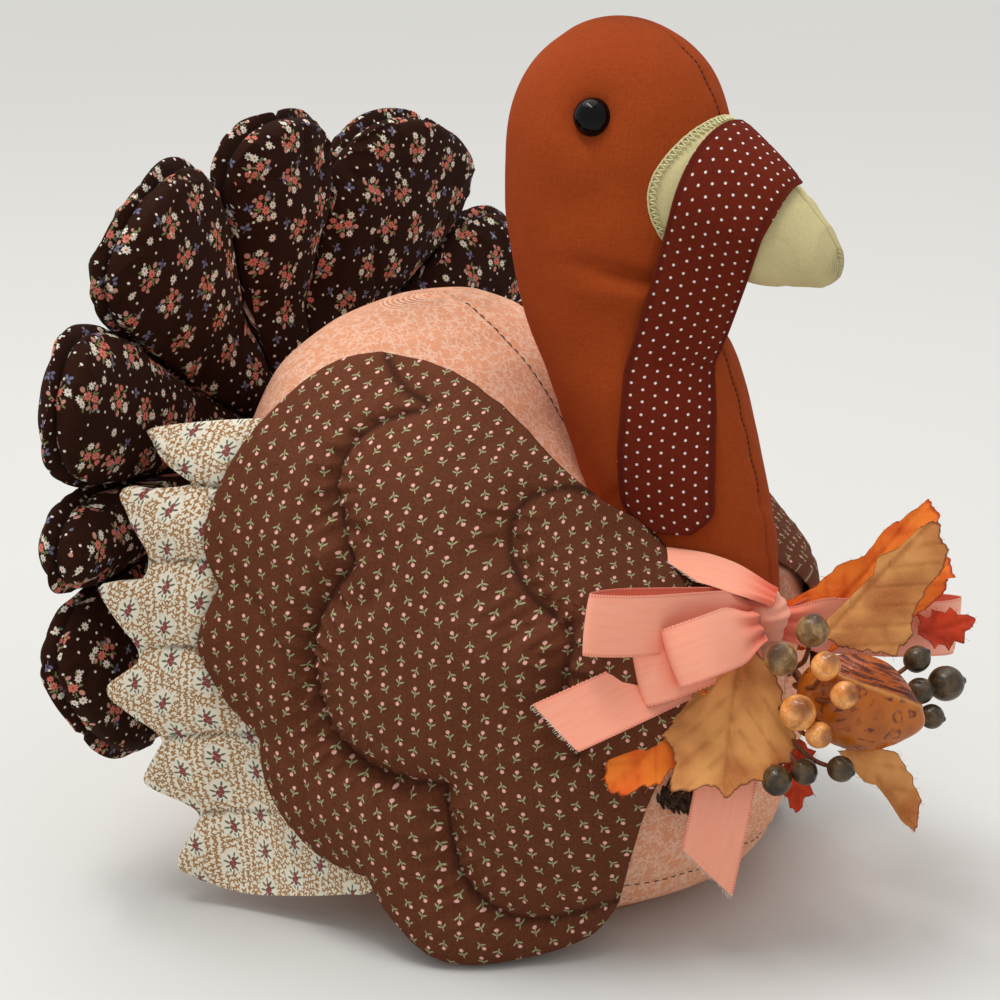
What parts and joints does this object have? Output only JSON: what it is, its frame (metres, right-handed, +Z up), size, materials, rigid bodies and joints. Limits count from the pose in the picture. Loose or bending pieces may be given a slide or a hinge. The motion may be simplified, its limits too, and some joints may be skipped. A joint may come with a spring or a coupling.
{
  "type": "stuffed turkey figure",
  "caption": "Seated stuffed turkey in printed cottons with quilted wings, scalloped fan tail, hanging wattle, and a satin bow with an autumn leaf and berry spray at its breast.",
  "frame": {"origin": "on the table under the body, in the plane of the centre seam", "axes": "+X towards the beak, +Z up, +Y to the bird's left"},
  "size_m": [0.3131, 0.3232, 0.337],
  "materials": {
    "body_print": "salmon cotton with a lighter branching print",
    "neck_cloth": "plain rust broadcloth",
    "beak_cloth": "plain cream muslin",
    "stuffing": "loose polyester filling",
    "eye": "polished black button",
    "thread": "button thread",
    "wattle_print": "burgundy cotton with small white dots",
    "wing_print": "quilted brown calico with small buds",
    "cream_print": "cream calico with tan vines and sprigs",
    "tail_print": "dark brown calico with small flowers",
    "satin": "coral satin ribbon",
    "leaf_tan": "stiffened tan cloth",
    "leaf_orange": "stiffened orange cloth",
    "leaf_red": "stiffened red cloth",
    "pod": "lacquered brown",
    "cone": "dry cone scales",
    "berry": "lacquered brown and amber",
    "wire": "paper-wrapped florist wire"
  },
  "bodies": {
    "figure": {"body_cover_right": "body_print", "body_cover_left": "body_print", "body_stuffing": "stuffing", "body_base_panel": "body_print", "neck_cover_right": "neck_cloth", "neck_cover_left": "neck_cloth", "neck_stuffing": "stuffing", "beak_cover": "beak_cloth", "beak_stuffing": "stuffing", "eye_right": "eye", "eye_left": "eye", "eye_thread": "thread", "wattle_top": "wattle_print", "wing_front_right": "wing_print", "wing_front_left": "wing_print", "tail_feather_1": "tail_print", "tail_feather_2": "tail_print", "tail_feather_3": "tail_print", "tail_feather_4": "tail_print", "tail_feather_5": "tail_print", "tail_feather_6": "tail_print", "tail_feather_7": "tail_print", "tail_feather_8": "tail_print", "tail_feather_9": "tail_print", "bow_knot": "satin", "bow_loop_left": "satin", "bow_loop_right": "satin", "bow_loop_front": "satin", "bow_loop_small": "satin", "bow_loop_top": "satin", "bow_tail_left": "satin", "bow_tail_down": "satin", "pod": "pod", "pine_cone": "cone", "spray_wire": "wire", "berries_top": "berry", "berries_orange": "berry", "berries_middle": "berry", "berries_low": "berry", "berries_side": "berry", "leaf_orange_top": "leaf_orange", "leaf_tan_top": "leaf_tan", "leaf_red_side": "leaf_red", "leaf_tan_front": "leaf_tan", "leaf_orange_low": "leaf_orange", "leaf_tan_low": "leaf_tan", "leaf_red_low": "leaf_red"},
    "right_wing": {"wing_right": "wing_print", "wing_feathers_right": "cream_print"},
    "left_wing": {"wing_left": "wing_print", "wing_feathers_left": "cream_print"},
    "wattle": {"wattle_flap": "wattle_print"}
  },
  "joints": [
    {"name": "wing_right_lift", "type": "hinge", "parent": "figure", "child": "right_wing", "pos_m": [0.07, -0.1141, 0.1], "axis": [0, 0.4226, 0.9063], "range_deg": [0, 20], "stiffness_Nm_per_rad": 0.01},
    {"name": "wing_left_lift", "type": "hinge", "parent": "figure", "child": "left_wing", "pos_m": [0.07, 0.1141, 0.1], "axis": [0, 0.4226, -0.9063], "range_deg": [0, 20], "stiffness_Nm_per_rad": 0.01},
    {"name": "wattle_swing", "type": "hinge", "parent": "figure", "child": "wattle", "pos_m": [0.0925, -0.018, 0.243], "axis": [-0.6606, -0.7507, 0], "range_deg": [0, 45]}
  ]
}
